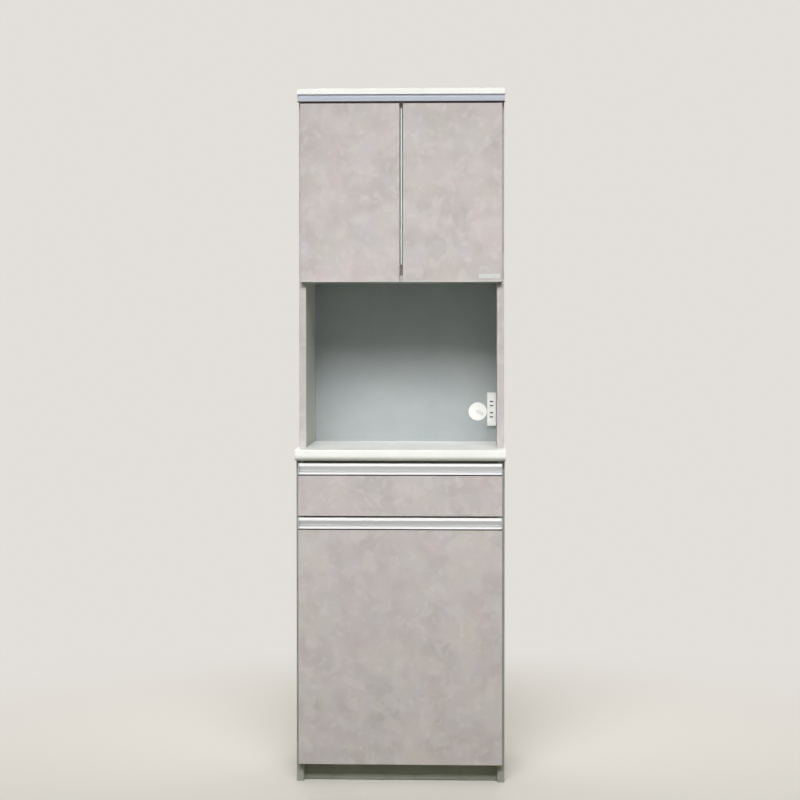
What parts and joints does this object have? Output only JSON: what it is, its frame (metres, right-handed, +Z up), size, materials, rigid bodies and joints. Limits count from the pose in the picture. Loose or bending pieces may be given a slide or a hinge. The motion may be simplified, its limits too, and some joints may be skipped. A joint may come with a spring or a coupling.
{
  "type": "kitchen cabinet",
  "caption": "Tall narrow kitchen cabinet: hinged cupboard over an open appliance niche, counter, shallow drawer and deep pull-out with recessed grip rails.",
  "frame": {"origin": "on the floor, below the middle of the counter's width and depth", "axes": "+Z up, the fronts face -Y, +X to the right as seen from the front"},
  "size_m": [0.6, 0.49, 1.9885],
  "materials": {
    "white_board": "white laminated board, satin",
    "stone_front": "stone-look film on board, matte",
    "stone_side": "stone-look film on board, matte",
    "kick_board": "grey film on board, matte",
    "back_board": "pale grey film on thin board, satin",
    "carcass_board": "pale film on board, satin",
    "drawer_board": "pale film on board, satin",
    "aluminium": "anodised, satin",
    "end_cap_plastic": "moulded grey plastic",
    "strip_plastic": "extruded pale plastic",
    "catch_plastic": "moulded grey-brown plastic",
    "bumper_rubber": "clear grey rubber",
    "outlet_plastic": "moulded white plastic",
    "cap_plastic": "moulded white plastic",
    "contact_brass": "bare brass",
    "plated_steel": "nickel plated",
    "slide_steel": "zinc plated",
    "dowel_wood": "bare beech"
  },
  "bodies": {
    "carcass": {"counter": "white_board", "lower_side_left": "stone_side", "lower_side_right": "stone_side", "lower_bottom_panel": "carcass_board", "kickboard": "kick_board", "lower_back_panel": "back_board", "counter_rails": "carcass_board", "mid_rail": "carcass_board", "counter_screws": "plated_steel", "upper_side_left": "stone_side", "upper_side_right": "stone_side", "upper_top_panel": "carcass_board", "upper_bottom_panel": "carcass_board", "upper_back_panel": "back_board", "wall_fixing_rail": "carcass_board", "top_board_rails": "carcass_board", "shelf_lower": "carcass_board", "shelf_upper": "carcass_board", "shelf_pins": "plated_steel", "unit_dowels": "dowel_wood", "top_board": "white_board", "crown_fascia": "aluminium", "crown_fascia_caps": "end_cap_plastic", "door_catch": "catch_plastic", "door_bumpers": "bumper_rubber", "hinge_arms": "plated_steel", "hinge_plates": "plated_steel", "hinge_plate_screws": "plated_steel", "outlet_faceplate": "outlet_plastic", "outlet_housing": "outlet_plastic", "outlet_contacts": "contact_brass", "cord_hole_liner": "cap_plastic", "cord_hole_cap": "cap_plastic", "cord_hole_flap": "cap_plastic", "drawer_slide_outers": "slide_steel", "deep_drawer_slide_outers": "slide_steel"},
    "left_door": {"left_door_panel": "stone_front", "left_hinge_cups": "plated_steel", "left_hinge_pins": "plated_steel", "left_strike_plate": "plated_steel", "left_door_dust_strip": "strip_plastic"},
    "right_door": {"right_door_panel": "stone_front", "right_hinge_cups": "plated_steel", "right_hinge_pins": "plated_steel", "right_strike_plate": "plated_steel"},
    "drawer": {"drawer_front": "stone_front", "drawer_handle": "aluminium", "drawer_handle_caps": "end_cap_plastic", "drawer_box_walls": "drawer_board", "drawer_bottom": "drawer_board", "drawer_slide_inners": "slide_steel"},
    "drawer_middle_rails": {"drawer_slide_middles": "slide_steel"},
    "deep_drawer": {"deep_drawer_front": "stone_front", "deep_drawer_handle": "aluminium", "deep_drawer_handle_caps": "end_cap_plastic", "deep_drawer_box_walls": "drawer_board", "deep_drawer_bottom": "drawer_board", "deep_drawer_slide_inners": "slide_steel"},
    "deep_middle_rails": {"deep_drawer_slide_middles": "slide_steel"}
  },
  "joints": [
    {"name": "left_door_hinge", "type": "hinge", "parent": "carcass", "child": "left_door", "pos_m": [-0.283, -0.148, 1.68975], "axis": [0, 0, -1], "range_deg": [0, 95]},
    {"name": "right_door_hinge", "type": "hinge", "parent": "carcass", "child": "right_door", "pos_m": [0.283, -0.148, 1.68975], "axis": [0, 0, 1], "range_deg": [0, 95]},
    {"name": "drawer_slide", "type": "slide", "parent": "carcass", "child": "drawer", "axis": [0, -1, 0], "range_m": [0, 0.38]},
    {"name": "drawer_middle_slide", "type": "slide", "parent": "carcass", "child": "drawer_middle_rails", "axis": [0, -1, 0], "range_m": [0, 0.19]},
    {"name": "deep_drawer_slide", "type": "slide", "parent": "carcass", "child": "deep_drawer", "axis": [0, -1, 0], "range_m": [0, 0.38]},
    {"name": "deep_middle_slide", "type": "slide", "parent": "carcass", "child": "deep_middle_rails", "axis": [0, -1, 0], "range_m": [0, 0.19]}
  ],
  "couplings": [
    {"joint": "drawer_middle_slide", "follows": "drawer_slide", "ratio": 0.5},
    {"joint": "deep_middle_slide", "follows": "deep_drawer_slide", "ratio": 0.5}
  ]
}
